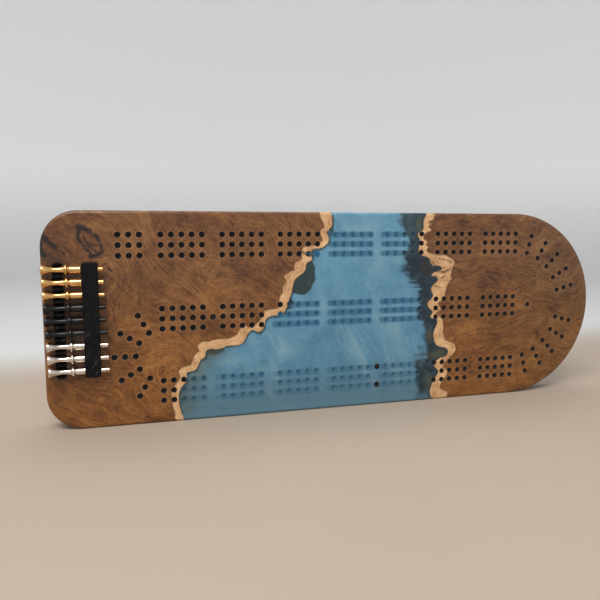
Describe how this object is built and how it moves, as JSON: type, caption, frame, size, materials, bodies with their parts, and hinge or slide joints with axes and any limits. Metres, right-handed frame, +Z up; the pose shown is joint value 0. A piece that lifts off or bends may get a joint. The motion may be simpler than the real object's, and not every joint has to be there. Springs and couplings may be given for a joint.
{
  "type": "cribbage board",
  "caption": "Long cribbage board with one round end, two wood slabs joined by a blue resin river, drilled three-lane tracks, and turned metal pegs stored in a black strip.",
  "frame": {"origin": "middle of the bottom long edge that the board stands on, half way through its thickness", "axes": "+Z up; +X along the board from the peg end to the round end; the playing face looks towards -Y"},
  "size_m": [0.387, 0.0259, 0.1325],
  "materials": {
    "wood": "figured brown heartwood with pale sapwood along the live edge, gloss varnish",
    "resin": "translucent pearly blue casting resin, polished, dark teal against the wood",
    "marker": "dark filled plug",
    "strip": "black, slightly creased, low sheen",
    "gold_metal": "polished gold colour",
    "black_metal": "gloss black",
    "silver_metal": "polished"
  },
  "bodies": {
    "board": {"wood_left": "wood", "resin_river": "resin", "wood_right": "wood", "skunk_marker": "marker", "double_skunk_marker_upper": "marker", "double_skunk_marker_lower": "marker", "peg_strip": "strip", "peg_rest_strip": "strip"},
    "gold_peg_1": {"gold_peg_1": "gold_metal"},
    "gold_peg_2": {"gold_peg_2": "gold_metal"},
    "gold_peg_3": {"gold_peg_3": "gold_metal"},
    "black_peg_1": {"black_peg_1": "black_metal"},
    "black_peg_2": {"black_peg_2": "black_metal"},
    "black_peg_3": {"black_peg_3": "black_metal"},
    "silver_peg_1": {"silver_peg_1": "silver_metal"},
    "silver_peg_2": {"silver_peg_2": "silver_metal"},
    "silver_peg_3": {"silver_peg_3": "silver_metal"}
  },
  "joints": [
    {"name": "gold_peg_1_draw", "type": "slide", "parent": "board", "child": "gold_peg_1", "axis": [-1, 0, 0], "range_m": [0, 0.04]},
    {"name": "gold_peg_2_draw", "type": "slide", "parent": "board", "child": "gold_peg_2", "axis": [-1, 0, 0], "range_m": [0, 0.04]},
    {"name": "gold_peg_3_draw", "type": "slide", "parent": "board", "child": "gold_peg_3", "axis": [-1, 0, 0], "range_m": [0, 0.04]},
    {"name": "black_peg_1_draw", "type": "slide", "parent": "board", "child": "black_peg_1", "axis": [-1, 0, 0], "range_m": [0, 0.04]},
    {"name": "black_peg_2_draw", "type": "slide", "parent": "board", "child": "black_peg_2", "axis": [-1, 0, 0], "range_m": [0, 0.04]},
    {"name": "black_peg_3_draw", "type": "slide", "parent": "board", "child": "black_peg_3", "axis": [-1, 0, 0], "range_m": [0, 0.04]},
    {"name": "silver_peg_1_draw", "type": "slide", "parent": "board", "child": "silver_peg_1", "axis": [-1, 0, 0], "range_m": [0, 0.04]},
    {"name": "silver_peg_2_draw", "type": "slide", "parent": "board", "child": "silver_peg_2", "axis": [-1, 0, 0], "range_m": [0, 0.04]},
    {"name": "silver_peg_3_draw", "type": "slide", "parent": "board", "child": "silver_peg_3", "axis": [-1, 0, 0], "range_m": [0, 0.04]}
  ]
}
